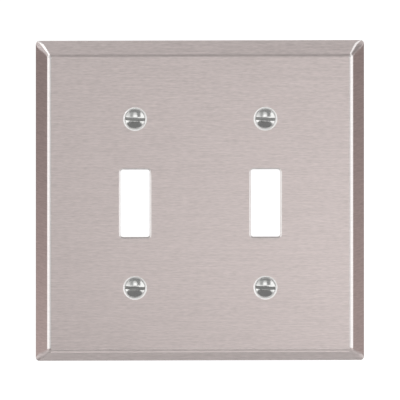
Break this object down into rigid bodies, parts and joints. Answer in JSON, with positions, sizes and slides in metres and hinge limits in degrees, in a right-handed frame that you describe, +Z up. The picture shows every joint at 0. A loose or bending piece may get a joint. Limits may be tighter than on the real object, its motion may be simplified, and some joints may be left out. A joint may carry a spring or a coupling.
{
  "type": "toggle switch wall plate",
  "caption": "Rectangular wall plate in brushed stainless steel with toggle switch openings and seated slotted oval-head screws.",
  "frame": {"origin": "centre of the plate's back, in the plane of the wall", "axes": "+Z up, +X to the right of someone who faces the plate, +Y into the wall, so the face looks along -Y"},
  "size_m": [0.116, 0.0139, 0.1142],
  "materials": {
    "brushed_steel": "satin, brushed from side to side",
    "screw_plating": "bright nickel plating"
  },
  "bodies": {
    "plate": {"wall_plate": "brushed_steel"},
    "screw_upper_left": {"screw_upper_left": "screw_plating"},
    "screw_upper_right": {"screw_upper_right": "screw_plating"},
    "screw_lower_left": {"screw_lower_left": "screw_plating"},
    "screw_lower_right": {"screw_lower_right": "screw_plating"}
  },
  "joints": [
    {"name": "screw_upper_left_turn", "type": "hinge", "parent": "plate", "child": "screw_upper_left", "pos_m": [-0.02302, 0, 0.03016], "axis": [0, 1, 0], "continuous": true},
    {"name": "screw_upper_right_turn", "type": "hinge", "parent": "plate", "child": "screw_upper_right", "pos_m": [0.02302, 0, 0.03016], "axis": [0, 1, 0], "continuous": true},
    {"name": "screw_lower_left_turn", "type": "hinge", "parent": "plate", "child": "screw_lower_left", "pos_m": [-0.02302, 0, -0.03016], "axis": [0, 1, 0], "continuous": true},
    {"name": "screw_lower_right_turn", "type": "hinge", "parent": "plate", "child": "screw_lower_right", "pos_m": [0.02302, 0, -0.03016], "axis": [0, 1, 0], "continuous": true}
  ]
}
